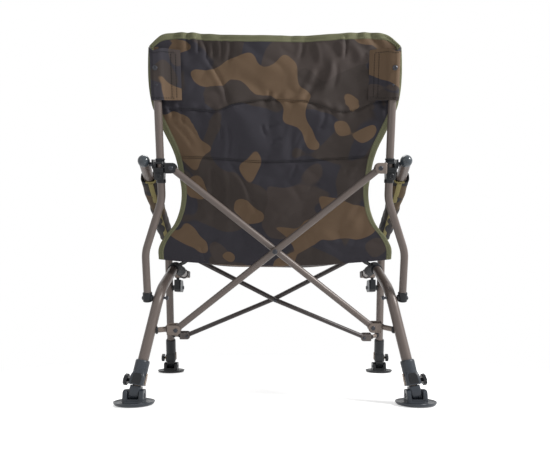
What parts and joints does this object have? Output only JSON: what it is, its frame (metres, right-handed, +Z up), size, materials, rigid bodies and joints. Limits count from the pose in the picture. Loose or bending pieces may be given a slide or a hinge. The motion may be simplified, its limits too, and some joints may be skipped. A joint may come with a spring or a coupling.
{
  "type": "folding low armchair",
  "caption": "Low folding armchair with a cloth sling back and seat, bent tube side frames, crossed braces, padded arms and adjustable legs on round feet.",
  "frame": {"origin": "middle of the bounding box, at the floor", "axes": "+X to the sitter's right, +Y forward, the way the sitter faces, +Z up"},
  "size_m": [0.8334, 0.8266, 0.8377],
  "materials": {
    "tube": "satin paint",
    "bracket": "satin paint",
    "bolt": "dull",
    "plastic": "moulded",
    "cloth": "woven, camouflage print",
    "webbing": "woven webbing"
  },
  "bodies": {
    "left_side": {"left_rear_leg_rail": "tube", "left_front_leg_arm": "tube", "left_rear_collar": "plastic", "left_front_collar": "plastic", "left_arm_ball": "plastic", "left_link_clevis": "bracket", "left_link_block": "plastic", "left_rail_sleeve": "webbing", "left_arm_sleeve": "cloth", "left_back_post": "tube", "left_post_foot_cap": "plastic", "left_arm_peg": "bolt", "left_top_pocket": "cloth", "left_pocket_screw": "bolt", "left_rear_bracket": "bracket", "left_front_bracket": "bracket"},
    "left_slider": {"left_knuckle": "plastic", "left_upper_clevis": "bracket", "left_arm_hook": "plastic"},
    "left_rear_extension": {"left_rear_inner_leg": "bracket"},
    "left_rear_foot": {"left_rear_mud_foot": "plastic"},
    "left_rear_lock": {"left_rear_lock_knob": "plastic"},
    "left_front_extension": {"left_front_inner_leg": "bracket"},
    "left_front_foot": {"left_front_mud_foot": "plastic"},
    "left_front_lock": {"left_front_lock_knob": "plastic"},
    "right_side": {"right_rear_leg_rail": "tube", "right_front_leg_arm": "tube", "right_rear_collar": "plastic", "right_front_collar": "plastic", "right_arm_ball": "plastic", "right_link_clevis": "bracket", "right_link_block": "plastic", "right_rail_sleeve": "webbing", "right_arm_sleeve": "cloth", "right_back_post": "tube", "right_post_foot_cap": "plastic", "right_arm_peg": "bolt", "right_top_pocket": "cloth", "right_pocket_screw": "bolt", "right_rear_bracket": "bracket", "right_front_bracket": "bracket"},
    "right_slider": {"right_knuckle": "plastic", "right_upper_clevis": "bracket", "right_arm_hook": "plastic"},
    "right_rear_extension": {"right_rear_inner_leg": "bracket"},
    "right_rear_foot": {"right_rear_mud_foot": "plastic"},
    "right_rear_lock": {"right_rear_lock_knob": "plastic"},
    "right_front_extension": {"right_front_inner_leg": "bracket"},
    "right_front_foot": {"right_front_mud_foot": "plastic"},
    "right_front_lock": {"right_front_lock_knob": "plastic"},
    "rear_brace_a": {"rear_brace_a": "tube", "rear_cross_bolt": "bolt"},
    "rear_brace_b": {"rear_brace_b": "tube"},
    "front_brace_c": {"front_brace_c": "tube", "front_cross_bolt": "bolt", "right_tip_cap": "plastic"},
    "front_brace_d": {"front_brace_d": "tube", "left_tip_cap": "plastic"},
    "back": {"back_cloth": "cloth"},
    "seat": {"seat_cloth": "cloth"}
  },
  "joints": [
    {"name": "fold", "type": "hinge", "parent": "left_side", "child": "rear_brace_a", "pos_m": [-0.238, -0.23687, 0.17204], "axis": [0, -0.9563, -0.2924], "range_deg": [0, 24], "deforming": ["back_cloth", "seat_cloth", "left_top_pocket", "right_top_pocket"]},
    {"name": "rear_cross", "type": "hinge", "parent": "rear_brace_a", "child": "rear_brace_b", "pos_m": [0, -0.28478, 0.35712], "axis": [0, -0.9563, -0.2924], "range_deg": [-48.1, 0]},
    {"name": "right_side_pivot", "type": "hinge", "parent": "rear_brace_b", "child": "right_side", "pos_m": [0.238, -0.221, 0.17689], "axis": [0, -0.9563, -0.2924], "range_deg": [0, 24.1]},
    {"name": "right_slider_pivot", "type": "hinge", "parent": "rear_brace_a", "child": "right_slider", "pos_m": [0.238, -0.34856, 0.53735], "axis": [0, -0.9563, -0.2924], "range_deg": [-24.1, 0]},
    {"name": "left_slider_pivot", "type": "hinge", "parent": "rear_brace_b", "child": "left_slider", "pos_m": [-0.238, -0.33268, 0.5422], "axis": [0, -0.9563, -0.2924], "range_deg": [0, 24.1]},
    {"name": "front_pivot", "type": "hinge", "parent": "left_side", "child": "front_brace_c", "pos_m": [-0.308, 0.32166, 0.13253], "axis": [0, -0.9449, -0.3272], "range_deg": [0, 27.9]},
    {"name": "front_cross", "type": "hinge", "parent": "front_brace_c", "child": "front_brace_d", "pos_m": [0, 0.26978, 0.257], "axis": [0, -0.9449, -0.3272], "range_deg": [-55.7, 0]},
    {"name": "back_gather", "type": "slide", "parent": "left_side", "child": "back", "axis": [1, 0, 0], "range_m": [-0.0985, 0]},
    {"name": "seat_lift", "type": "hinge", "parent": "back", "child": "seat", "pos_m": [0, -0.16268, 0.347], "axis": [1, 0, 0], "range_deg": [0, 36]},
    {"name": "left_rear_leg_height", "type": "slide", "parent": "left_side", "child": "left_rear_extension", "axis": [-0.1797, -0.1598, -0.9706], "range_m": [0, 0.1]},
    {"name": "left_rear_foot_tilt", "type": "hinge", "parent": "left_rear_extension", "child": "left_rear_foot", "pos_m": [-0.325, -0.27268, 0.021], "axis": [1, 0, 0], "range_deg": [-20, 20]},
    {"name": "left_rear_lock_turn", "type": "hinge", "parent": "left_side", "child": "left_rear_lock", "pos_m": [-0.31925, -0.26757, 0.05206], "axis": [-0.9837, 0.0292, 0.1774], "range_deg": [0, 300]},
    {"name": "left_front_leg_height", "type": "slide", "parent": "left_side", "child": "left_front_extension", "axis": [-0.0245, 0.3271, -0.9447], "range_m": [0, 0.1]},
    {"name": "left_front_foot_tilt", "type": "hinge", "parent": "left_front_extension", "child": "left_front_foot", "pos_m": [-0.37, 0.36632, 0.021], "axis": [1, 0, 0], "range_deg": [-20, 20]},
    {"name": "left_front_lock_turn", "type": "hinge", "parent": "left_side", "child": "left_front_lock", "pos_m": [-0.36922, 0.35585, 0.05123], "axis": [-0.9997, -0.008, 0.0232], "range_deg": [0, 300]},
    {"name": "right_rear_leg_height", "type": "slide", "parent": "right_side", "child": "right_rear_extension", "axis": [0.1797, -0.1598, -0.9706], "range_m": [0, 0.1]},
    {"name": "right_rear_foot_tilt", "type": "hinge", "parent": "right_rear_extension", "child": "right_rear_foot", "pos_m": [0.325, -0.27268, 0.021], "axis": [1, 0, 0], "range_deg": [-20, 20]},
    {"name": "right_rear_lock_turn", "type": "hinge", "parent": "right_side", "child": "right_rear_lock", "pos_m": [0.31925, -0.26757, 0.05206], "axis": [0.9837, 0.0292, 0.1774], "range_deg": [0, 300]},
    {"name": "right_front_leg_height", "type": "slide", "parent": "right_side", "child": "right_front_extension", "axis": [0.0245, 0.3271, -0.9447], "range_m": [0, 0.1]},
    {"name": "right_front_foot_tilt", "type": "hinge", "parent": "right_front_extension", "child": "right_front_foot", "pos_m": [0.37, 0.36632, 0.021], "axis": [1, 0, 0], "range_deg": [-20, 20]},
    {"name": "right_front_lock_turn", "type": "hinge", "parent": "right_side", "child": "right_front_lock", "pos_m": [0.36922, 0.35585, 0.05123], "axis": [0.9997, -0.008, 0.0232], "range_deg": [0, 300]}
  ],
  "couplings": [
    {"joint": "rear_cross", "follows": "fold", "ratio": -2},
    {"joint": "right_side_pivot", "follows": "fold", "ratio": 1},
    {"joint": "right_slider_pivot", "follows": "fold", "ratio": -1},
    {"joint": "left_slider_pivot", "follows": "fold", "ratio": 1},
    {"joint": "front_pivot", "follows": "fold", "ratio": 1.1577},
    {"joint": "front_cross", "follows": "fold", "ratio": -2.3153},
    {"joint": "back_gather", "follows": "fold", "m_per_rad": -0.2346},
    {"joint": "seat_lift", "follows": "fold", "ratio": 1.49}
  ]
}
